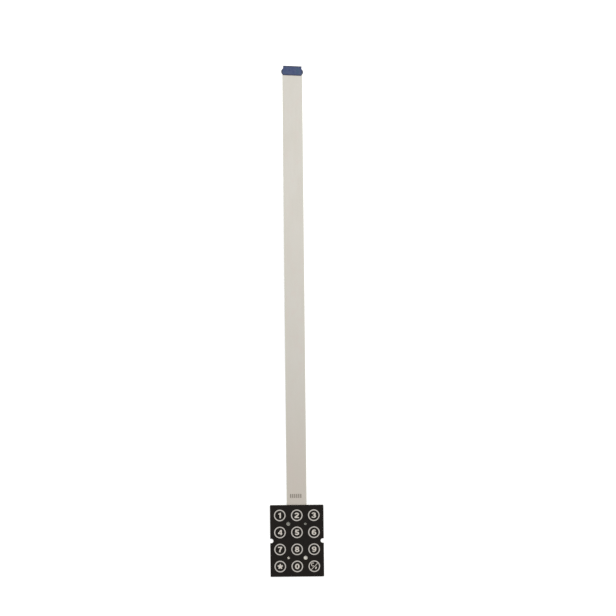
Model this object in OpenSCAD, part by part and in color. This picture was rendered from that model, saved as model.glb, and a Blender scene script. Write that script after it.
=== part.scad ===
// Membrane keypad with twelve keys: a stack of thin films with a long flat tail.
// The stack lies face up with its rear on z = 0. The origin is the middle of the rear face,
// +Z is the front and +Y runs out along the tail.

/* [Keys] */
// Distance between neighbouring key centres, both ways
key_pitch = 12.7; // [12:0.1:14]
// From the middle of an outer key column to the side edge
side_margin = 7.3; // [7:0.1:15]
// From the middle of an end key row to the upper or lower edge
end_margin = 7.7; // [7.5:0.1:20]
// Outer diameter of the printed ring round a key
ring_d = 8.6; // [7:0.1:11]
// Width of the printed ring's line
ring_line = 0.75; // [0.4:0.05:1.5]

/* [Outline] */
// Radius of the corners of the pad
corner_r = 0.7; // [0.2:0.1:2]
// Diameter of the two larger locating holes
large_hole_d = 3; // [2:0.1:3.4]
// Diameter of the two smaller locating holes
small_hole_d = 2; // [1.5:0.1:3]
// Width of the round-ended notch in each side
notch_w = 3.4; // [2:0.1:5]
// Depth of the notch from the side edge
notch_depth = 2.4; // [1.5:0.1:2.7]

/* [Layers] */
// Thickness of the paper liner on the rear
liner_t = 0.1; // [0.05:0.01:0.2]
// Width of the knife slit that parts the liner in two
liner_slit = 0.15; // [0.1:0.05:0.5]
// Thickness of the rear adhesive
rear_adhesive_t = 0.13; // [0.05:0.01:1]
// Thickness of the lower circuit film
lower_film_t = 0.125; // [0.05:0.005:0.25]
// Thickness of the spacer with its adhesive, which is the switch gap
spacer_t = 0.2; // [0.1:0.01:0.5]
// Thickness of the upper circuit film and its tail
upper_film_t = 0.125; // [0.05:0.005:0.25]
// Thickness of the overlay adhesive
overlay_adhesive_t = 0.05; // [0.03:0.01:0.2]
// Thickness of the front film
overlay_t = 0.42; // [0.15:0.01:0.6]
// Depth of the coloured rings in the front film
ring_t = 0.05; // [0.02:0.01:0.1]

/* [Circuit] */
// Diameter of a printed contact disc
contact_d = 6; // [4:0.1:6.8]
// Diameter of the spacer's opening round a contact
opening_d = 8; // [7:0.1:9]
// Width of the vent slots between the openings
vent_w = 1; // [0.5:0.1:2]
// Thickness of the printed conductors
ink_t = 0.02; // [0.01:0.005:0.04]
// Width of a printed line inside the pad
track_w = 0.3; // [0.2:0.05:0.4]
// Distance between neighbouring lines inside the pad
track_pitch = 0.6; // [0.5:0.05:0.65]
// Least distance from a line to a hole or notch
track_clear = 0.4; // [0.2:0.05:0.5]
// Diameter of the conductive dot that joins the two films
jumper_d = 1.6; // [1:0.1:2]
// Clearance round that dot in the spacer
jumper_clear = 0.3; // [0.1:0.1:0.6]

/* [Tail] */
// Length of the tail from the pad's edge to the tip, seen from above
tail_l = 327.7; // [60:0.1:600]
// How much the tail is wider than its tongue on each side
tail_edge = 0.5; // [0.1:0.05:2]
// Height of the underside of the tail at the top of its gentle bow
crest_h = 2; // [1:0.5:20]
// Distance between neighbouring contacts at the tail's end
contact_pitch = 1; // [0.9:0.05:1.1]
// Width of a line on the tail and of its bare end
finger_w = 0.6; // [0.3:0.05:0.7]
// Length of the bare ends
finger_l = 4; // [2:0.1:6]
// Least distance from the bare ends to the tail's cut edge
finger_inset = 0.3; // [0.1:0.1:1]
// Thickness of the carbon coat on the bare ends
carbon_t = 0.015; // [0.005:0.005:0.03]
// Thickness of the insulating film under the tail
cover_t = 0.05; // [0.04:0.01:0.1]

/* [Stiffener] */
// Length of the stiffener from the tail's tip
stiffener_l = 7.1; // [6:0.1:12]
// Thickness of the stiffener
stiffener_t = 0.125; // [0.1:0.005:0.3]
// Thickness of its adhesive
stiffener_adhesive_t = 0.05; // [0.03:0.01:0.1]
// From an outer contact to the side of the tongue that enters a connector
tongue_edge = 0.6; // [0.4:0.05:1]
// How far an ear stands out from the side of the tongue
ear_out = 1.3; // [0.5:0.05:2.2]
// Radius of the round ears, which end level with the stiffener
ear_r = 2.7; // [2.2:0.1:2.9]
// Angle by which the end is cut out of square
end_skew = 3; // [0:0.1:4]

/* [Hidden] */
$fn = 48;

// Three columns and four rows of keys, named by their places from the middle of the pad
columns = [-key_pitch, 0, key_pitch];
rows = [1.5 * key_pitch, 0.5 * key_pitch, -0.5 * key_pitch, -1.5 * key_pitch];
pad_w = 2 * (key_pitch + side_margin);
pad_h = 3 * key_pitch + 2 * end_margin;

// The locating holes stand in the middle of four keys, the two sizes on opposite diagonals
hole_x = key_pitch / 2;
hole_y = key_pitch;

// The slit in the liner runs across behind the third row of keys
slit_y = rows[2];

// Undersides of the layers, from the rear to the front
rear_adhesive_z = liner_t;
lower_film_z = rear_adhesive_z + rear_adhesive_t;
spacer_z = lower_film_z + lower_film_t;
upper_film_z = spacer_z + spacer_t;
overlay_adhesive_z = upper_film_z + upper_film_t;
overlay_z = overlay_adhesive_z + overlay_adhesive_t;
front_z = overlay_z + overlay_t;

// Lanes for the printed lines: beside the middle column, beside an outer column and along the edge
hole_keep_off = large_hole_d / 2 + track_clear + track_w / 2;
near_lane = hole_x - hole_keep_off;
far_lane = hole_x + hole_keep_off;
edge_lane = pad_w / 2 - notch_depth - track_clear - track_w / 2;
fan_y = pad_h / 2 - track_clear - track_w;

// One route for each line of the tail, from left to right: start x, start y and the lane it climbs.
// The ninth is the common line, which starts at the jumper.
jumper_at = [hole_x, rows[0]];
routes = [
    [columns[0], rows[3], -edge_lane],
    [columns[0], rows[2], track_pitch - edge_lane],
    [columns[0], rows[0], columns[0]],
    [columns[0], rows[1], -far_lane - track_pitch],
    [columns[1], rows[2], -far_lane],
    [columns[1], rows[1], -near_lane],
    [columns[1], rows[0], columns[1]],
    [columns[1], rows[3], near_lane],
    [jumper_at[0], jumper_at[1], jumper_at[0]],
    [columns[2], rows[1], far_lane],
    [columns[2], rows[0], columns[2]],
    [columns[2], rows[2], edge_lane - track_pitch],
    [columns[2], rows[3], edge_lane]
];
line_count = len(routes);
middle_line = (line_count - 1) / 2;

// Widths of the tail and its end, from the row of contacts outwards
tongue_w = (line_count - 1) * contact_pitch + finger_w + 2 * tongue_edge;
tail_w = tongue_w + 2 * tail_edge;
ear_span = tongue_w + 2 * ear_out;

// Places along the tail. Its end lies flat for the stiffener and as far again.
// The skewed cut brings one corner of the tip back by skew_drop and takes the other as far out.
root_y = pad_h / 2;
tip_y = root_y + tail_l;
skew_drop = tongue_w / 2 * sin(end_skew);
flat_y = tip_y - 2 * stiffener_l;
crest_y = (root_y + flat_y) / 2;
finger_end_y = tip_y - skew_drop - finger_inset;
cover_end_y = finger_end_y - finger_l;
ear_y = tip_y - stiffener_l + ear_r;
tail_end_z = cover_t + ink_t;
root_overlap = 1;
bow_steps = 24;

// Colours
black = [0.14, 0.13, 0.12];
ink_white = [0.82, 0.80, 0.76];
film_pale = [0.82, 0.80, 0.76];
silver = [0.72, 0.72, 0.70];
film_clear = [0.80, 0.84, 0.86];
glue_clear = [0.88, 0.86, 0.78];
liner_cream = [0.93, 0.90, 0.80];
carbon = [0.16, 0.16, 0.17];
stiffener_blue = [0.31, 0.36, 0.48];

// How far a smooth rise has come at the share u of its run
function ease(u) = (1 - cos(180 * u)) / 2;

// Height of the upper film's underside above the surface that the part lies on
function rise_z(y) = upper_film_z + (crest_h - upper_film_z) * ease((y - root_y) / (crest_y - root_y));
function fall_z(y) = crest_h - (crest_h - tail_end_z) * ease((y - crest_y) / (flat_y - crest_y));
function film_z(y) = y <= root_y ? upper_film_z
    : y <= crest_y ? rise_z(y)
    : y < flat_y ? fall_z(y)
    : tail_end_z;

// Places along the film at which its height is worked out
bow_step = (flat_y - root_y) / (2 * bow_steps);
film_end_y = tip_y + tongue_w * sin(end_skew);
stations = concat([-root_y], [for (i = [0 : 2 * bow_steps]) root_y + i * bow_step], [film_end_y]);
last_station = len(stations) - 1;

// Where a line turns across to its place on the tail: the outer lines turn nearer the edge
function line_x(i) = (i - middle_line) * contact_pitch;
function turn_y(i) = fan_y - track_pitch * (middle_line - abs(i - middle_line));

// Rounded rectangle about the origin
module round_rect(w, h, r) {
    square([w - 2 * r, h], center = true);
    square([w, h - 2 * r], center = true);
    for (x = [-1, 1], y = [-1, 1])
        translate([x * (w / 2 - r), y * (h / 2 - r)]) circle(r);
}

// Upright or level line from point a to point b
module line_plan(a, b, w) {
    translate([min(a[0], b[0]) - w / 2, min(a[1], b[1]) - w / 2])
        square([abs(a[0] - b[0]) + w, abs(a[1] - b[1]) + w]);
}

// Strip of the tail between two places along it
module strip_plan(w, from_y, to_y) {
    translate([-w / 2, from_y]) square([w, to_y - from_y]);
}

// Places its children on each key
module at_keys() {
    for (x = columns, y = rows)
        translate([x, y]) children();
}

// Notch in the right-hand side
module notch_plan() {
    translate([pad_w / 2 - notch_depth + notch_w / 2, 0]) {
        circle(d = notch_w);
        translate([0, -notch_w / 2]) square([notch_w + notch_depth, notch_w]);
    }
}

// Outline that all layers of the pad share, with its holes and notches
module pad_plan() {
    difference() {
        round_rect(pad_w, pad_h, corner_r);
        for (side = [-1, 1]) {
            translate([-side * hole_x, side * hole_y]) circle(d = large_hole_d);
            translate([side * hole_x, side * hole_y]) circle(d = small_hole_d);
        }
        notch_plan();
        mirror([1, 0]) notch_plan();
    }
}

// End that the tail and the stiffener share: a tongue with two round ears, turned by the skew
module tail_end_plan() {
    translate([0, tip_y - stiffener_l / 2]) rotate(-end_skew) {
        square([tongue_w, stiffener_l], center = true);
        for (side = [-1, 1])
            translate([side * (ear_span / 2 - ear_r), ear_r - stiffener_l / 2]) circle(ear_r);
    }
}

// Contact discs and lines of the upper film
module silver_plan() {
    at_keys() circle(d = contact_d);
    translate(jumper_at) circle(d = jumper_d);
    for (i = [0 : line_count - 1]) {
        start = [routes[i][0], routes[i][1]];
        lane_x = routes[i][2];
        line_plan(start, [lane_x, start[1]], track_w);
        line_plan([lane_x, start[1]], [lane_x, turn_y(i)], track_w);
        line_plan([lane_x, turn_y(i)], [line_x(i), turn_y(i)], track_w);
        translate([line_x(i), 0]) strip_plan(finger_w, turn_y(i) - track_w / 2, finger_end_y);
    }
}

// Contact discs and bus lines of the lower film
module common_plan() {
    at_keys() circle(d = contact_d);
    translate(jumper_at) circle(d = jumper_d);
    for (x = columns)
        line_plan([x, rows[3]], [x, rows[0]], track_w);
    line_plan([columns[0], rows[0]], [columns[2], rows[0]], track_w);
}

// Openings of the spacer, joined by vents down each column and along the lowest row
module opening_plan() {
    at_keys() circle(d = opening_d);
    for (x = columns)
        line_plan([x, rows[3]], [x, rows[0]], vent_w);
    line_plan([columns[0], rows[3]], [columns[2], rows[3]], vent_w);
    translate(jumper_at) circle(d = jumper_d + 2 * jumper_clear);
}

// Flat layer of the pad between two heights
module pad_layer(z, t) {
    translate([0, 0, z]) linear_extrude(t) pad_plan();
}

// Layer that follows the bowed film, cut to the plan given as its children.
// Its lower and upper faces lie at the heights lo and hi above the upper film's underside.
module film_layer(lo, hi) {
    under = [for (y = stations) [y, film_z(y) + lo]];
    over = [for (i = [last_station : -1 : 0]) [stations[i], film_z(stations[i]) + hi]];
    intersection() {
        rotate([90, 0, 90]) linear_extrude(2 * pad_w, center = true) polygon(concat(under, over));
        linear_extrude(upper_film_z + 2 * crest_h) children();
    }
}

// Front film with a groove for each printed ring
module graphic_overlay() {
    color(black) difference() {
        pad_layer(overlay_z, overlay_t);
        translate([0, 0, front_z - ring_t]) linear_extrude(overlay_t) ring_plan();
    }
}

module ring_plan() {
    at_keys() difference() {
        circle(d = ring_d);
        circle(d = ring_d - 2 * ring_line);
    }
}

// Rings of pale print, level with the front
module key_rings() {
    color(ink_white) translate([0, 0, front_z - ring_t]) linear_extrude(ring_t) ring_plan();
}

module overlay_adhesive() {
    color(glue_clear) pad_layer(overlay_adhesive_z, overlay_adhesive_t);
}

// Upper film and its tail, one die-cut piece
module upper_circuit() {
    color(film_pale) film_layer(0, upper_film_t) {
        pad_plan();
        strip_plan(tail_w, root_y - root_overlap, ear_y);
        tail_end_plan();
    }
}

// Conductors printed under the upper film
module silver_tracks() {
    color(silver) film_layer(-ink_t, 0) silver_plan();
}

// Spacer whose adhesive takes up the printed lines of both films
module spacer() {
    color(film_clear) difference() {
        translate([0, 0, spacer_z]) linear_extrude(spacer_t) difference() {
            pad_plan();
            opening_plan();
        }
        translate([0, 0, upper_film_z - ink_t]) linear_extrude(spacer_t) silver_plan();
        translate([0, 0, spacer_z + ink_t - spacer_t]) linear_extrude(spacer_t) common_plan();
    }
}

// Conductive dot between the common line and the lower film
module common_jumper() {
    color(silver) translate([jumper_at[0], jumper_at[1], spacer_z + ink_t])
        cylinder(d = jumper_d, h = spacer_t - 2 * ink_t);
}

module common_tracks() {
    color(silver) translate([0, 0, spacer_z]) linear_extrude(ink_t) common_plan();
}

module lower_circuit() {
    color(film_clear) pad_layer(lower_film_z, lower_film_t);
}

module rear_adhesive() {
    color(glue_clear) pad_layer(rear_adhesive_z, rear_adhesive_t);
}

// Paper liner in two parts, so that it peels from the slit
module release_liner() {
    color(liner_cream) difference() {
        pad_layer(0, liner_t);
        translate([-pad_w, slit_y - liner_slit / 2, -liner_t]) cube([2 * pad_w, liner_slit, 3 * liner_t]);
    }
}

// Insulating film over the lines, which stops short of their bare ends
module tail_cover() {
    color(film_pale) film_layer(-ink_t - cover_t, -ink_t) strip_plan(tail_w, root_y, cover_end_y);
}

// Carbon coats on the bare ends
module contact_fingers() {
    color(carbon) film_layer(-ink_t - carbon_t, -ink_t)
        for (i = [0 : line_count - 1])
            translate([line_x(i), 0]) strip_plan(finger_w, cover_end_y, finger_end_y);
}

module stiffener_adhesive() {
    color(glue_clear) translate([0, 0, tail_end_z + upper_film_t])
        linear_extrude(stiffener_adhesive_t) tail_end_plan();
}

// Stiff plate with ears on the front of the tail's end
module tail_stiffener() {
    color(stiffener_blue) translate([0, 0, tail_end_z + upper_film_t + stiffener_adhesive_t])
        linear_extrude(stiffener_t) tail_end_plan();
}

graphic_overlay();
key_rings();
overlay_adhesive();
upper_circuit();
silver_tracks();
spacer();
common_jumper();
common_tracks();
lower_circuit();
rear_adhesive();
release_liner();
tail_cover();
contact_fingers();
stiffener_adhesive();
tail_stiffener();
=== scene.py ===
"""Looks of the membrane keypad: camera, materials, printed signs, floor and light.

Everything is in metres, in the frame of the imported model: the rear of the pad lies on z = 0,
+Z is the front and +Y runs out along the tail.
"""

import math

import bmesh
import bpy
from mathutils import Matrix, Vector


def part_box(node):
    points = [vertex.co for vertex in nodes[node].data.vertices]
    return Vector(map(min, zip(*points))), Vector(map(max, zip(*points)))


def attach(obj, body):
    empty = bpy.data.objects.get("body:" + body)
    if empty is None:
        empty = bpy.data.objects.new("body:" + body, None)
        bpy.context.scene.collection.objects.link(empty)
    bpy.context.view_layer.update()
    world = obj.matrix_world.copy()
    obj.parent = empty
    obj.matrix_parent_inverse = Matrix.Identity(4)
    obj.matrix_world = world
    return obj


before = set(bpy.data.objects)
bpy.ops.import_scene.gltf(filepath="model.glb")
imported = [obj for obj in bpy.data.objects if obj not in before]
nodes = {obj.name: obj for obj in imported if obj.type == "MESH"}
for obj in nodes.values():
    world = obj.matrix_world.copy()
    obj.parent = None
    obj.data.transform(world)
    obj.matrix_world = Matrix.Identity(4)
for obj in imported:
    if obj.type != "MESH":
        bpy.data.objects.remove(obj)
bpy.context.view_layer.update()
scene = bpy.context.scene
MM = 0.001
WHITE = (1.0, 1.0, 1.0, 1.0)


# Camera, straight above as in the photograph
FIELD_M = 0.46025
CAMERA_HEIGHT_M = 0.70
SENSOR_MM = 36.0
CLIP_START_M = 0.01
CLIP_END_M = 20.0
VIEW_CENTRE = (0.00998, 0.1736)
CAMERA_ROLL_DEG = -0.595

camera_data = bpy.data.cameras.new("camera")
camera_data.sensor_width = SENSOR_MM
camera_data.lens = SENSOR_MM * CAMERA_HEIGHT_M / FIELD_M
camera_data.clip_start = CLIP_START_M
camera_data.clip_end = CLIP_END_M
camera = bpy.data.objects.new("camera", camera_data)
camera.location = (*VIEW_CENTRE, CAMERA_HEIGHT_M)
camera.rotation_euler = (0.0, 0.0, math.radians(CAMERA_ROLL_DEG))
scene.collection.objects.link(camera)
scene.camera = camera
scene.view_settings.view_transform = "Standard"


# Helpers for node materials
SRGB_TURN = 0.04045
SRGB_SLOPE = 12.92
SRGB_OFFSET = 0.055
SRGB_POWER = 2.4
SPECK_CORE = 0.6


def linear(red, green, blue):
    """Colour for a shader from the values that a picture shows, 0 to 255."""
    def one_channel(value):
        share = value / 255.0
        if share <= SRGB_TURN:
            return share / SRGB_SLOPE
        return ((share + SRGB_OFFSET) / (1.0 + SRGB_OFFSET)) ** SRGB_POWER
    return (one_channel(red), one_channel(green), one_channel(blue), 1.0)


class Shade:
    """Builds one node material round its Principled shader."""

    def __init__(self, name, **constants):
        self.material = bpy.data.materials.new(name)
        self.material.use_nodes = True
        self.tree = self.material.node_tree
        self.shader = self.tree.nodes["Principled BSDF"]
        for socket, value in constants.items():
            self.shader.inputs[socket.replace("_", " ")].default_value = value
        self.place = self.add("ShaderNodeTexCoord").outputs["Object"]
        self.x, self.y, _ = self.axes(self.place)

    def add(self, kind, **settings):
        """Adds a node and sets its options."""
        node = self.tree.nodes.new(kind)
        for key, value in settings.items():
            setattr(node, key, value)
        return node

    def feed(self, socket, value):
        """Links a socket to a socket, or sets it to a plain value."""
        if isinstance(value, bpy.types.NodeSocket):
            self.tree.links.new(value, socket)
        else:
            socket.default_value = value

    def axes(self, vector):
        """The x, y and z of a vector."""
        node = self.add("ShaderNodeSeparateXYZ")
        self.feed(node.inputs[0], vector)
        return node.outputs

    def math(self, operation, first, second=0.0):
        """One step of arithmetic."""
        node = self.add("ShaderNodeMath", operation=operation)
        self.feed(node.inputs[0], first)
        self.feed(node.inputs[1], second)
        return node.outputs[0]

    def times(self, value, amount):
        return self.math("MULTIPLY", value, amount)

    def step(self, value, low, high, out_low=0.0, out_high=1.0):
        """Smooth change from out_low at low to out_high at high."""
        node = self.add("ShaderNodeMapRange", interpolation_type="SMOOTHSTEP")
        for socket, setting in zip(node.inputs, (value, low, high, out_low, out_high)):
            self.feed(socket, setting)
        return node.outputs[0]

    def fall(self, value, low, high):
        """Smooth change from 1 at low to 0 at high."""
        return self.step(value, low, high, out_low=1.0, out_high=0.0)

    def noise(self, size_m, detail, stretch=(1.0, 1.0, 1.0), shift=0.0):
        """Noise whose features are about size_m wide, drawn out by stretch along each axis."""
        scale = [1.0 / (size_m * share) for share in stretch]
        mapping = self.add("ShaderNodeMapping")
        mapping.inputs["Location"].default_value = (shift, shift, shift)
        mapping.inputs["Scale"].default_value = scale
        self.feed(mapping.inputs["Vector"], self.place)
        texture = self.add("ShaderNodeTexNoise")
        texture.inputs["Scale"].default_value = 1.0
        texture.inputs["Detail"].default_value = detail
        self.feed(texture.inputs["Vector"], mapping.outputs[0])
        return texture.outputs["Fac"]

    def specks(self, size_m, share):
        """Sparse round specks about size_m apart that each fill a share of their cell."""
        texture = self.add("ShaderNodeTexVoronoi")
        texture.inputs["Scale"].default_value = 1.0 / size_m
        self.feed(texture.inputs["Vector"], self.place)
        return self.fall(texture.outputs["Distance"], share * SPECK_CORE, share)

    def side_share(self):
        """1 on the upright cut edges of a film, 0 on its faces."""
        _, _, up = self.axes(self.add("ShaderNodeNewGeometry").outputs["Normal"])
        return self.fall(self.math("ABSOLUTE", up), low=0.3, high=0.7)

    def mix(self, share, first, second):
        """The first colour where share is 0, the second where it is 1."""
        node = self.add("ShaderNodeMix", data_type="RGBA")
        colours = [socket for socket in node.inputs if socket.type == "RGBA"]
        self.feed(node.inputs["Factor"], share)
        self.feed(colours[0], first)
        self.feed(colours[1], second)
        return next(socket for socket in node.outputs if socket.type == "RGBA")

    def tint(self, tone, colour, pattern, low, high, amount=1.0):
        """Mixes a colour into a tone, by up to an amount, as a pattern rises from low to high."""
        return self.mix(self.step(pattern, low, high, out_high=amount), tone, colour)

    def finish(self, colour, roughness, height, relief_m, strength):
        """Connects colour, roughness and a fine relief, and gives the material."""
        self.feed(self.shader.inputs["Base Color"], colour)
        self.feed(self.shader.inputs["Roughness"], roughness)
        bump = self.add("ShaderNodeBump")
        bump.inputs["Strength"].default_value = strength
        bump.inputs["Distance"].default_value = relief_m
        self.feed(bump.inputs["Height"], height)
        self.feed(self.shader.inputs["Normal"], bump.outputs[0])
        return self.material


# Materials
LINE_PITCH_M = 1.0 * MM
HALF_PITCH = 0.5
LINE_EDGE_PITCHES = (0.25, 0.35)
LINES_END_M = (6.4 * MM, 6.5 * MM)
TAIL_HALF_WIDTH_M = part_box("tail_cover")[1].x
TAIL_ROOT_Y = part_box("tail_cover")[0].y
PINK_REACH_M = 110.0 * MM
EDGE_TINT_M = 1.8 * MM
END_SKEW_DEG = 3.0
STIFFENER_SIDE_M = (6.5 * MM, 7.8 * MM)
STIFFENER_END_M = (2.4 * MM, 3.3 * MM)


def line_share(shade):
    """1 over the thirteen printed lines of the tail, 0 between them."""
    pitches = shade.math("DIVIDE", shade.x, LINE_PITCH_M)
    across = shade.math("FRACT", shade.math("ADD", pitches, HALF_PITCH))
    off_line = shade.math("ABSOLUTE", shade.math("SUBTRACT", across, HALF_PITCH))
    stripe = shade.fall(off_line, *LINE_EDGE_PITCHES)
    inside = shade.fall(shade.math("ABSOLUTE", shade.x), *LINES_END_M)
    return shade.times(stripe, inside)


def overlay_film():
    """Black front film with a fine matt grain, faint handling marks and a paler cut edge."""
    shade = Shade("overlay_film", Specular_IOR_Level=0.12)
    grain = shade.noise(size_m=0.22 * MM, detail=2.0)
    mottle = shade.noise(size_m=1.4 * MM, detail=3.0, shift=5.7)
    cloud = shade.noise(size_m=7.0 * MM, detail=4.0, shift=3.1)
    dust = shade.specks(size_m=1.9 * MM, share=0.045)
    tone = shade.tint(linear(12, 9, 7), linear(20, 16, 12), cloud, low=0.35, high=0.7)
    tone = shade.tint(tone, linear(27, 23, 20), mottle, low=0.4, high=0.7, amount=0.5)
    tone = shade.tint(tone, linear(42, 36, 32), grain, low=0.42, high=0.68, amount=0.5)
    tone = shade.mix(shade.times(dust, amount=0.4), tone, linear(80, 76, 70))
    tone = shade.mix(shade.side_share(), tone, linear(46, 43, 40))
    rough = shade.step(cloud, low=0.3, high=0.75, out_low=0.52, out_high=0.64)
    return shade.finish(tone, rough, grain, relief_m=0.03 * MM, strength=0.5)


def printed_ink(name, dull, bright, worn):
    """Warm off-white print that is a little uneven."""
    shade = Shade(name, Specular_IOR_Level=0.2)
    grain = shade.noise(size_m=0.14 * MM, detail=2.0, shift=1.7)
    cloud = shade.noise(size_m=2.2 * MM, detail=3.0, shift=5.3)
    tone = shade.tint(dull, bright, cloud, low=0.3, high=0.7)
    tone = shade.tint(tone, worn, grain, low=0.55, high=0.8, amount=0.35)
    rough = shade.step(grain, low=0.3, high=0.7, out_low=0.48, out_high=0.6)
    return shade.finish(tone, rough, grain, relief_m=0.01 * MM, strength=0.3)


def tail_colour(shade):
    """Pale film, a little pinker and darker near the pad, with slightly greener edges.

    It also gives the cloud and the streaks, which set the film's gloss and relief.
    """
    cloud = shade.noise(size_m=16.0 * MM, detail=3.0, stretch=(0.6, 2.0, 1.0))
    streak = shade.noise(size_m=1.2 * MM, detail=2.0, stretch=(0.5, 30.0, 1.0), shift=2.4)
    blush = shade.noise(size_m=5.0 * MM, detail=2.0, stretch=(0.8, 1.3, 1.0), shift=7.3)
    off_pad = shade.step(shade.y, TAIL_ROOT_Y, TAIL_ROOT_Y + PINK_REACH_M)
    tone = shade.mix(off_pad, linear(208, 199, 188), linear(210, 206, 197))
    tone = shade.tint(tone, linear(206, 201, 190), cloud, low=0.35, high=0.7, amount=0.5)
    tone = shade.tint(tone, linear(216, 209, 202), streak, low=0.5, high=0.8, amount=0.25)
    tone = shade.tint(tone, linear(211, 199, 191), blush, low=0.5, high=0.72, amount=0.35)
    off_middle = shade.math("ABSOLUTE", shade.x)
    inner = TAIL_HALF_WIDTH_M - EDGE_TINT_M
    edge = shade.step(off_middle, inner, TAIL_HALF_WIDTH_M, out_high=0.45)
    return shade.mix(edge, tone, linear(206, 205, 190)), cloud, streak


def tail_film():
    """Front of the circuit film: satin, with fine lengthwise rolling marks."""
    shade = Shade("tail_film", Specular_IOR_Level=0.4)
    tone, cloud, streak = tail_colour(shade)
    scuff = shade.noise(size_m=0.3 * MM, detail=3.0, stretch=(1.0, 8.0, 1.0), shift=6.0)
    lines = line_share(shade)
    tone = shade.mix(shade.times(lines, amount=0.05), tone, linear(150, 150, 148))
    tone = shade.tint(tone, linear(178, 172, 162), scuff, low=0.66, high=0.8, amount=0.2)
    rough = shade.step(cloud, low=0.3, high=0.7, out_low=0.38, out_high=0.5)
    height = shade.math("ADD", shade.times(streak, amount=0.6), shade.times(scuff, amount=0.4))
    return shade.finish(tone, rough, height, relief_m=0.012 * MM, strength=0.35)


def tail_cover_film():
    """Insulating film under the tail, through which the silver lines show as grey stripes."""
    shade = Shade("tail_cover_film", Specular_IOR_Level=0.4)
    tone, cloud, streak = tail_colour(shade)
    lines = line_share(shade)
    tone = shade.mix(shade.times(lines, amount=0.55), tone, linear(138, 140, 140))
    rough = shade.step(cloud, low=0.3, high=0.7, out_low=0.32, out_high=0.46)
    height = shade.math("ADD", streak, shade.times(lines, amount=0.8))
    return shade.finish(tone, rough, height, relief_m=0.015 * MM, strength=0.35)


def clear_film():
    """Natural polyester, seen at its cut edges as a pale bluish line."""
    shade = Shade("clear_film", Specular_IOR_Level=0.5)
    cloud = shade.noise(size_m=3.0 * MM, detail=3.0)
    grain = shade.noise(size_m=0.2 * MM, detail=2.0, shift=4.0)
    tone = shade.mix(cloud, linear(176, 186, 190), linear(202, 208, 208))
    rough = shade.step(grain, low=0.3, high=0.7, out_low=0.26, out_high=0.4)
    return shade.finish(tone, rough, grain, relief_m=0.01 * MM, strength=0.3)


def adhesive():
    """Clear yellowish adhesive with small bubbles."""
    shade = Shade("adhesive", Specular_IOR_Level=0.5)
    cloud = shade.noise(size_m=2.0 * MM, detail=3.0, shift=8.0)
    bubbles = shade.specks(size_m=1.1 * MM, share=0.12)
    tone = shade.mix(cloud, linear(206, 200, 176), linear(222, 216, 196))
    tone = shade.mix(shade.times(bubbles, amount=0.4), tone, linear(236, 233, 222))
    rough = shade.step(cloud, low=0.3, high=0.7, out_low=0.2, out_high=0.32)
    return shade.finish(tone, rough, bubbles, relief_m=0.01 * MM, strength=0.3)


def silver_ink():
    """Screen-printed silver with a dull granular shine."""
    shade = Shade("silver_ink", Metallic=0.75)
    grain = shade.noise(size_m=0.08 * MM, detail=3.0, shift=2.0)
    tone = shade.mix(grain, linear(166, 166, 164), linear(206, 206, 202))
    rough = shade.step(grain, low=0.3, high=0.7, out_low=0.4, out_high=0.58)
    return shade.finish(tone, rough, grain, relief_m=0.008 * MM, strength=0.5)


def carbon_ink():
    """Matt black carbon print, rubbed a little shinier where a connector grips."""
    shade = Shade("carbon_ink", Specular_IOR_Level=0.35)
    grain = shade.noise(size_m=0.07 * MM, detail=3.0, shift=7.0)
    wear = shade.noise(size_m=0.8 * MM, detail=2.0, stretch=(0.4, 2.0, 1.0), shift=1.0)
    tone = shade.mix(grain, linear(38, 38, 40), linear(58, 58, 60))
    tone = shade.tint(tone, linear(78, 78, 80), wear, low=0.55, high=0.75, amount=0.4)
    rough = shade.step(wear, low=0.4, high=0.75, out_low=0.66, out_high=0.45)
    return shade.finish(tone, rough, grain, relief_m=0.008 * MM, strength=0.5)


def liner_paper():
    """Cream release paper with short fibres under its silicone sheen."""
    shade = Shade("liner_paper", Specular_IOR_Level=0.4)
    fibre = shade.noise(size_m=0.35 * MM, detail=4.0, stretch=(1.0, 3.0, 1.0), shift=4.4)
    cross = shade.noise(size_m=0.35 * MM, detail=4.0, stretch=(3.0, 1.0, 1.0), shift=9.2)
    cloud = shade.noise(size_m=5.0 * MM, detail=3.0, shift=0.6)
    tone = shade.mix(cloud, linear(228, 219, 194), linear(238, 230, 208))
    tone = shade.tint(tone, linear(212, 201, 172), fibre, low=0.55, high=0.75, amount=0.35)
    tone = shade.tint(tone, linear(244, 238, 222), cross, low=0.58, high=0.75, amount=0.3)
    rough = shade.step(cloud, low=0.3, high=0.7, out_low=0.4, out_high=0.52)
    height = shade.math("ADD", fibre, cross)
    return shade.finish(tone, rough, height, relief_m=0.015 * MM, strength=0.35)


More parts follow.
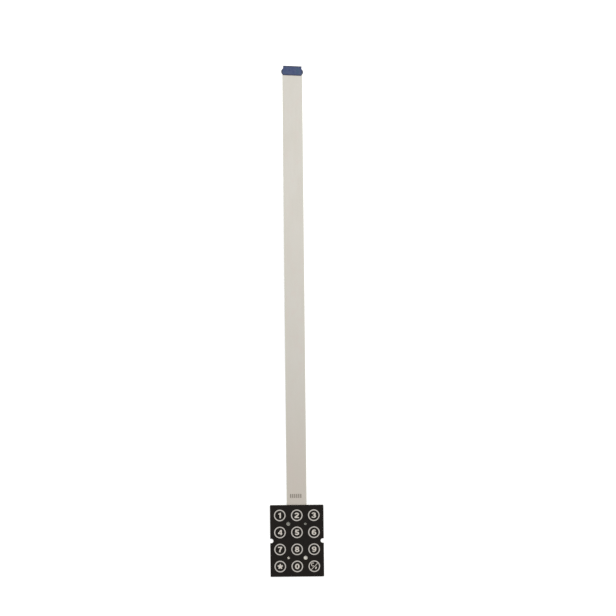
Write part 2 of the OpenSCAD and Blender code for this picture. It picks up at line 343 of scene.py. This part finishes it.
def stiffener_film():
    """Blue polyester plate, mottled, with greener patches and with darker borders."""
    shade = Shade("stiffener_film", Specular_IOR_Level=0.12)
    mottle = shade.noise(size_m=1.6 * MM, detail=3.0, shift=3.0)
    patch = shade.noise(size_m=3.2 * MM, detail=2.0, shift=6.6)
    grain = shade.noise(size_m=0.18 * MM, detail=2.0, shift=1.2)
    tone = shade.tint(linear(65, 77, 113), linear(79, 89, 119), mottle, low=0.35, high=0.68)
    tone = shade.tint(tone, linear(67, 93, 113), patch, low=0.5, high=0.7, amount=0.6)
    low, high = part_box("tail_stiffener")
    middle = (low + high) / 2
    skew = math.radians(END_SKEW_DEG)
    mapping = shade.add("ShaderNodeMapping")
    mapping.inputs["Location"].default_value = -(Matrix.Rotation(skew, 3, "Z") @ middle)
    mapping.inputs["Rotation"].default_value = (0.0, 0.0, skew)
    shade.feed(mapping.inputs["Vector"], shade.place)
    across, along, _ = shade.axes(mapping.outputs[0])
    near_side = shade.step(shade.math("ABSOLUTE", across), *STIFFENER_SIDE_M)
    near_end = shade.step(shade.math("ABSOLUTE", along), *STIFFENER_END_M)
    border = shade.times(shade.math("MAXIMUM", near_side, near_end), amount=0.8)
    tone = shade.mix(border, tone, linear(59, 61, 73))
    rough = shade.step(mottle, low=0.3, high=0.7, out_low=0.42, out_high=0.56)
    return shade.finish(tone, rough, grain, relief_m=0.012 * MM, strength=0.35)


def code_ink():
    """Thin grey-brown print on the tail."""
    shade = Shade("code_ink", Specular_IOR_Level=0.3)
    grain = shade.noise(size_m=0.12 * MM, detail=3.0, shift=2.2)
    tone = shade.tint(linear(128, 120, 110), linear(150, 142, 131), grain, low=0.35, high=0.7)
    rough = shade.step(grain, low=0.3, high=0.7, out_low=0.5, out_high=0.62)
    return shade.finish(tone, rough, grain, relief_m=0.006 * MM, strength=0.3)


LEGEND_INK = printed_ink(
    "legend_ink",
    dull=linear(215, 208, 197),
    bright=linear(224, 217, 207),
    worn=linear(196, 190, 179),
)
RING_INK = printed_ink(
    "ring_ink",
    dull=linear(201, 196, 188),
    bright=linear(211, 206, 199),
    worn=linear(184, 179, 170),
)
CODE_INK = code_ink()
CLEAR_FILM = clear_film()
ADHESIVE = adhesive()
SILVER_INK = silver_ink()
NODE_MATERIALS = {
    "graphic_overlay": overlay_film(),
    "key_rings": RING_INK,
    "overlay_adhesive": ADHESIVE,
    "upper_circuit": tail_film(),
    "silver_tracks": SILVER_INK,
    "spacer": CLEAR_FILM,
    "common_jumper": SILVER_INK,
    "common_tracks": SILVER_INK,
    "lower_circuit": CLEAR_FILM,
    "rear_adhesive": ADHESIVE,
    "release_liner": liner_paper(),
    "tail_cover": tail_cover_film(),
    "contact_fingers": carbon_ink(),
    "stiffener_adhesive": ADHESIVE,
    "tail_stiffener": stiffener_film(),
}
for name, material in NODE_MATERIALS.items():
    slots = nodes[name].data.materials
    slots.clear()
    slots.append(material)


# Flat shapes for the print. A shape is a list of loops, and a loop is a list of points
ARC_STEP_DEG = 6.0
FEWEST_STEPS = 2
POINT_SPACING_MM = 0.004
HALF_UP = 0.5


def ellipse(centre, radii, start, stop):
    """Points of an ellipse from one angle to another, in degrees."""
    count = max(FEWEST_STEPS, round(abs(stop - start) / ARC_STEP_DEG))
    points = []
    for i in range(count + 1):
        angle = math.radians(start + (stop - start) * i / count)
        x = centre[0] + radii[0] * math.cos(angle)
        y = centre[1] + radii[1] * math.sin(angle)
        points.append((x, y))
    return points


def band(centre, radii, widths, start, stop):
    """Open stroke between two ellipses, as one loop."""
    inner = (radii[0] - widths[0], radii[1] - widths[1])
    return [ellipse(centre, radii, start, stop) + ellipse(centre, inner, stop, start)]


def ring(centre, radii, widths):
    """Closed stroke between two ellipses, as an outer and an inner loop."""
    inner = (radii[0] - widths[0], radii[1] - widths[1])
    return [ellipse(centre, radii, 0, 360)[:-1], ellipse(centre, inner, 0, 360)[:-1]]


def box_loop(left, bottom, right, top):
    """Upright box, as one loop."""
    return [[(left, bottom), (right, bottom), (right, top), (left, top)]]


def changed(shapes, change):
    """The same shapes with each point put through a change."""
    return [[[change(x, y) for x, y in loop] for loop in loops] for loops in shapes]


def turned(shapes, centre):
    """The same shapes turned by half a turn about a point."""
    return changed(shapes, lambda x, y: (2 * centre[0] - x, 2 * centre[1] - y))


def prism(loops):
    """Mesh of one flat shape, one unit thick, with its faces in the same order on each run."""
    mesh = bpy.data.meshes.new("prism")
    shape = bmesh.new()
    edges = []
    for loop in loops:
        corners = [shape.verts.new((x, y, 0.0)) for x, y in loop]
        edges += [shape.edges.new((corner, corners[i - 1])) for i, corner in enumerate(corners)]
    bmesh.ops.triangle_fill(shape, use_beauty=True, edges=edges)
    above = {corner: shape.verts.new((corner.co.x, corner.co.y, 1.0)) for corner in shape.verts[:]}
    for face in shape.faces[:]:
        shape.faces.new([above[corner] for corner in face.verts])
    for edge in edges:
        first, second = edge.verts
        shape.faces.new((first, second, above[second], above[first]))
    bmesh.ops.recalc_face_normals(shape, faces=shape.faces[:])
    shape.to_mesh(mesh)
    shape.free()
    return mesh


def is_top(face):
    """Whether a face of a prism is part of its upper side."""
    return all(corner.co.z > HALF_UP for corner in face.verts)


def spaced(points):
    """Points of a closed loop without those that nearly coincide."""
    kept = [points[0]]
    for point in points[1:]:
        if min(math.dist(point, kept[-1]), math.dist(point, kept[0])) > POINT_SPACING_MM:
            kept.append(point)
    return kept


def outlines(mesh):
    """Loops round the upper side of a mesh."""
    shape = bmesh.new()
    shape.from_mesh(mesh)
    beside = {}
    for edge in shape.edges:
        if sum(is_top(face) for face in edge.link_faces) == 1:
            first, second = edge.verts
            beside.setdefault(first, []).append(second)
            beside.setdefault(second, []).append(first)
    loops = []
    unused = dict.fromkeys(beside)
    while unused:
        corner = next(iter(unused))
        points = []
        while corner:
            del unused[corner]
            points.append((corner.co.x, corner.co.y))
            corner = next((other for other in beside[corner] if other in unused), None)
        loops.append(spaced(points))
    shape.free()
    return [loop for loop in loops if len(loop) > 2]


def joined(shapes):
    """One prism from shapes in millimetres that may overlap.

    Only the outline of their union is kept, so that none of its slivers are.
    """
    objects = []
    for loops in shapes:
        item = bpy.data.objects.new("shape", prism(loops))
        scene.collection.objects.link(item)
        objects.append(item)
    for item in objects[1:]:
        union = objects[0].modifiers.new("union", "BOOLEAN")
        union.operation = "UNION"
        union.solver = "EXACT"
        union.object = item
    graph = bpy.context.evaluated_depsgraph_get()
    mesh = bpy.data.meshes.new_from_object(objects[0].evaluated_get(graph))
    for item in objects:
        bpy.data.objects.remove(item)
    return prism(outlines(mesh))


def unit_mesh(shapes):
    """Mesh, one unit thick, of shapes in metres.

    They are joined in millimetres, where the flat union is exact enough.
    """
    mesh = joined(changed(shapes, lambda x, y: (x / MM, y / MM)))
    mesh.transform(Matrix.Diagonal((MM, MM, 1.0, 1.0)))
    return mesh


def add_piece(name, mesh, material):
    """Puts a print on the part."""
    mesh.name = name
    mesh.materials.clear()
    mesh.materials.append(material)
    piece = bpy.data.objects.new(name, mesh)
    scene.collection.objects.link(piece)
    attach(piece, "root")


# Digits, drawn in a cell that is one unit high and about 0.8 units wide
DIGIT_UNIT_X_M = 4.3 * MM
DIGIT_UNIT_Y_M = 4.05 * MM
DIGIT_MIDDLE = (0.41, 0.5)
SIX = [
    ring((0.42, 0.32), (0.39, 0.32), (0.24, 0.18)),
    band((0.45, 0.50), (0.42, 0.50), (0.25, 0.19), 42, 190),
]
DIGITS = {
    "1": [[[
        (0.37, 0.0), (0.61, 0.0), (0.61, 1.0), (0.43, 1.0), (0.39, 0.92), (0.31, 0.86),
        (0.15, 0.83), (0.15, 0.68), (0.37, 0.68),
    ]]],
    "2": [
        band((0.41, 0.70), (0.38, 0.30), (0.24, 0.19), -38, 175),
        [[(0.71, 0.515), (0.52, 0.632), (0.03, 0.24), (0.03, 0.08), (0.30, 0.08), (0.42, 0.18)]],
        box_loop(0.03, 0.0, 0.79, 0.19),
    ],
    "3": [
        band((0.38, 0.720), (0.37, 0.280), (0.24, 0.175), -95, 165),
        band((0.38, 0.295), (0.41, 0.295), (0.25, 0.180), -165, 95),
        box_loop(0.28, 0.445, 0.46, 0.585),
    ],
    "4": [[
        [
            (0.50, 0.04), (0.74, 0.04), (0.74, 0.22), (0.81, 0.22), (0.81, 0.39), (0.74, 0.39),
            (0.74, 0.97), (0.52, 0.97), (0.09, 0.41), (0.09, 0.22), (0.50, 0.22),
        ],
        [(0.28, 0.39), (0.50, 0.39), (0.50, 0.69)],
    ]],
    "5": [
        box_loop(0.15, 0.80, 0.75, 1.0),
        [[(0.15, 1.0), (0.38, 1.0), (0.35, 0.61), (0.30, 0.53), (0.08, 0.46)]],
        band((0.40, 0.325), (0.39, 0.325), (0.26, 0.20), -165, 142),
    ],
    "6": SIX,
    "7": [[[
        (0.06, 1.0), (0.78, 1.0), (0.78, 0.82), (0.61, 0.57), (0.51, 0.32), (0.46, 0.0),
        (0.22, 0.0), (0.25, 0.30), (0.37, 0.57), (0.52, 0.81), (0.06, 0.81),
    ]]],
    "8": [
        ring((0.41, 0.735), (0.340, 0.265), (0.23, 0.165)),
        ring((0.41, 0.290), (0.380, 0.290), (0.24, 0.170)),
    ],
    "9": turned(SIX, DIGIT_MIDDLE),
    "0": [ring(DIGIT_MIDDLE, (0.40, 0.50), (0.26, 0.20))],
}


def digit_shapes(sign):
    """Shapes of a digit about its middle, in metres."""
    middle_x, middle_y = DIGIT_MIDDLE
    return changed(
        DIGITS[sign],
        lambda x, y: ((x - middle_x) * DIGIT_UNIT_X_M, (y - middle_y) * DIGIT_UNIT_Y_M),
    )


# Legends on the keys
KEY_PITCH_M = 12.7 * MM
KEY_LEGENDS = ["123", "456", "789", "*0/"]
MIDDLE_ROW = (len(KEY_LEGENDS) - 1) / 2
MIDDLE_COLUMN = (len(KEY_LEGENDS[0]) - 1) / 2
INK_THICKNESS_M = 0.012 * MM
INK_SINK_M = 0.004 * MM
FRONT_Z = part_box("graphic_overlay")[1].z
STAR_ARMS = 5
STAR_TURN_DEG = 360 / STAR_ARMS
STAR_RADII_M = (1.95 * MM, 1.05 * MM)
STAR_TIP_HALF_M = 0.48 * MM


def star_loop():
    """Star with blunt tips and one arm up, in metres."""
    outer, inner = STAR_RADII_M
    points = []
    for arm in range(STAR_ARMS):
        angle = math.radians(90 + STAR_TURN_DEG * arm)
        out = Vector((math.cos(angle), math.sin(angle)))
        side = Vector((-out.y, out.x))
        points.append(out * outer - side * STAR_TIP_HALF_M)
        points.append(out * outer + side * STAR_TIP_HALF_M)
        between = angle + math.radians(STAR_TURN_DEG / 2)
        points.append(Vector((math.cos(between), math.sin(between))) * inner)
    return [[(point.x, point.y) for point in points]]


def bar_loop(length, width, angle_deg, centre):
    """Straight bar with rounded ends."""
    half = length / 2 - width / 2
    right = ellipse((half, 0.0), (width / 2, width / 2), -90, 90)
    left = ellipse((-half, 0.0), (width / 2, width / 2), 90, 270)
    turn = Matrix.Rotation(math.radians(angle_deg), 2)
    points = [turn @ Vector(point) + Vector(centre) for point in right + left]
    return [[(point.x, point.y) for point in points]]


def last_key_shapes():
    """Slash across the ring, with a small open ring above it and a short bar below it."""
    slash = bar_loop(
        length=7.1 * MM, width=0.37 * MM, angle_deg=45, centre=(0.14 * MM, -0.14 * MM)
    )
    open_ring = band(
        centre=(-1.05 * MM, 1.30 * MM), radii=(1.3 * MM, 1.42 * MM), widths=(0.5 * MM, 0.5 * MM),
        start=48, stop=318,
    )
    short_bar = bar_loop(
        length=1.8 * MM, width=0.95 * MM, angle_deg=65, centre=(1.25 * MM, -1.2 * MM)
    )
    return [slash, open_ring, short_bar]


def legend(sign):
    """Name and shapes of the print on a key."""
    if sign == "*":
        return "legend_star", [star_loop()]
    if sign == "/":
        return "legend_slash", last_key_shapes()
    return f"legend_{sign}", digit_shapes(sign)


def add_legends():
    """Prints a sign in the ring of each key."""
    thickness = Matrix.Diagonal((1.0, 1.0, INK_THICKNESS_M + INK_SINK_M, 1.0))
    for row, signs in enumerate(KEY_LEGENDS):
        for column, sign in enumerate(signs):
            name, shapes = legend(sign)
            mesh = unit_mesh(shapes)
            x = (column - MIDDLE_COLUMN) * KEY_PITCH_M
            y = (MIDDLE_ROW - row) * KEY_PITCH_M
            place = Matrix.Translation((x, y, FRONT_Z - INK_SINK_M))
            mesh.transform(place @ thickness)
            add_piece(name, mesh, LEGEND_INK)


add_legends()


# Plain bars where the tail carries a small print
CODE_MIDDLE = (-0.6 * MM, 33.4 * MM)
CODE_BARS = 6
CODE_BAR_PITCH_M = 1.5 * MM
CODE_BAR_SIZE = (0.85 * MM, 3.0 * MM)
ABOVE_FILM_M = 0.05
DOWN = Vector((0.0, 0.0, -1.0))


def film_top(x, y):
    """Height of the tail's front at a place."""
    start = Vector((x, y, ABOVE_FILM_M))
    hit, place, _, _ = nodes["upper_circuit"].ray_cast(start, DOWN)
    if not hit:
        raise ValueError("no film under the print")
    return place.z


def add_code():
    """Prints the bars, which follow the height of the tail."""
    middle_x, middle_y = CODE_MIDDLE
    half_width = CODE_BAR_SIZE[0] / 2
    half_height = CODE_BAR_SIZE[1] / 2
    bottom = middle_y - half_height
    top = middle_y + half_height
    shapes = []
    for bar in range(CODE_BARS):
        x = middle_x + (bar - (CODE_BARS - 1) / 2) * CODE_BAR_PITCH_M
        shapes.append(box_loop(x - half_width, bottom, x + half_width, top))
    mesh = unit_mesh(shapes)
    for corner in mesh.vertices:
        lift = INK_THICKNESS_M if corner.co.z > HALF_UP else -INK_SINK_M
        corner.co.z = film_top(corner.co.x, corner.co.y) + lift
    add_piece("tail_print", mesh, CODE_INK)


add_code()


# Floor and light
FLOOR_Z = -0.05 * MM
FLOOR_HALF_M = 4.0
FLOOR_CORNERS = ((-1, -1), (1, -1), (1, 1), (-1, 1))
FLOOR_GLOW = 0.52
GLOW_INSET_M = 6.0 * MM
GLOW_FADE_M = 3.0 * MM
PAPER = (0.8, 0.8, 0.8, 1.0)
SHADED_LOW = (0.93, 0.90, 0.83, 1.0)
SHADED_HIGH = (0.39, 0.385, 0.345, 1.0)
SHADE_TURN_M = 6.0 * MM
ROOM_LIGHT = 0.6
LAMP_PLACE = Vector((0.2, 0.36, 0.47))
LAMP_AIM = Vector((0.0, 0.33, 0.0))
LAMP_SIZE_M = 0.35
LAMP_POWER_W = 1.4


def sees_background(tree):
    """1 for camera, glossy and transmission rays."""
    path = tree.nodes.new("ShaderNodeLightPath")
    total = path.outputs["Is Camera Ray"]
    for ray in ("Is Glossy Ray", "Is Transmission Ray"):
        node = tree.nodes.new("ShaderNodeMath")
        node.operation = "MAXIMUM"
        tree.links.new(total, node.inputs[0])
        tree.links.new(path.outputs[ray], node.inputs[1])
        total = node.outputs[0]
    return total


def floor_material():
    """Pale paper that shows white, but is warm and shaded under the pad, deeper towards the tail.

    Only the holes let one see that shade. The pad in the photograph lifts a little on that side.
    """
    shade = Shade("floor", Roughness=1.0, Specular_IOR_Level=0.0)
    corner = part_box("graphic_overlay")[1]
    beyond_x = shade.math("SUBTRACT", shade.math("ABSOLUTE", shade.x), corner.x - GLOW_INSET_M)
    beyond_y = shade.math("SUBTRACT", shade.math("ABSOLUTE", shade.y), corner.y - GLOW_INSET_M)
    open_floor = shade.step(shade.math("MAXIMUM", beyond_x, beyond_y), 0.0, GLOW_FADE_M)
    towards_tail = shade.step(shade.y, -SHADE_TURN_M, SHADE_TURN_M)
    under_pad = shade.mix(towards_tail, SHADED_LOW, SHADED_HIGH)
    shade.feed(shade.shader.inputs["Base Color"], shade.mix(open_floor, under_pad, PAPER))
    glow = shade.times(open_floor, FLOOR_GLOW)
    glow = shade.times(glow, sees_background(shade.tree))
    shade.shader.inputs["Emission Color"].default_value = WHITE
    shade.feed(shade.shader.inputs["Emission Strength"], glow)
    return shade.material


def add_floor():
    """Wide flat floor just under the part."""
    mesh = bpy.data.meshes.new("floor")
    corners = [(x * FLOOR_HALF_M, y * FLOOR_HALF_M, FLOOR_Z) for x, y in FLOOR_CORNERS]
    mesh.from_pydata(corners, [], [(0, 1, 2, 3)])
    mesh.materials.append(floor_material())
    floor = bpy.data.objects.new("floor", mesh)
    scene.collection.objects.link(floor)


def add_world():
    """Even white room, which shows as white behind the part."""
    world = bpy.data.worlds.new("studio")
    world.use_nodes = True
    tree = world.node_tree
    tree.nodes.clear()
    room = tree.nodes.new("ShaderNodeBackground")
    room.inputs["Color"].default_value = WHITE
    room.inputs["Strength"].default_value = ROOM_LIGHT
    white = tree.nodes.new("ShaderNodeBackground")
    white.inputs["Color"].default_value = WHITE
    mixer = tree.nodes.new("ShaderNodeMixShader")
    output = tree.nodes.new("ShaderNodeOutputWorld")
    tree.links.new(sees_background(tree), mixer.inputs[0])
    tree.links.new(room.outputs[0], mixer.inputs[1])
    tree.links.new(white.outputs[0], mixer.inputs[2])
    tree.links.new(mixer.outputs[0], output.inputs["Surface"])
    scene.world = world


def add_lamp():
    """Soft square lamp to the right of the tail, near its tip."""
    data = bpy.data.lights.new("key_lamp", "AREA")
    data.shape = "SQUARE"
    data.size = LAMP_SIZE_M
    data.energy = LAMP_POWER_W
    lamp = bpy.data.objects.new("key_lamp", data)
    lamp.location = LAMP_PLACE
    lamp.rotation_euler = (LAMP_AIM - LAMP_PLACE).to_track_quat("-Z", "Y").to_euler()
    scene.collection.objects.link(lamp)


add_floor()
add_world()
add_lamp()
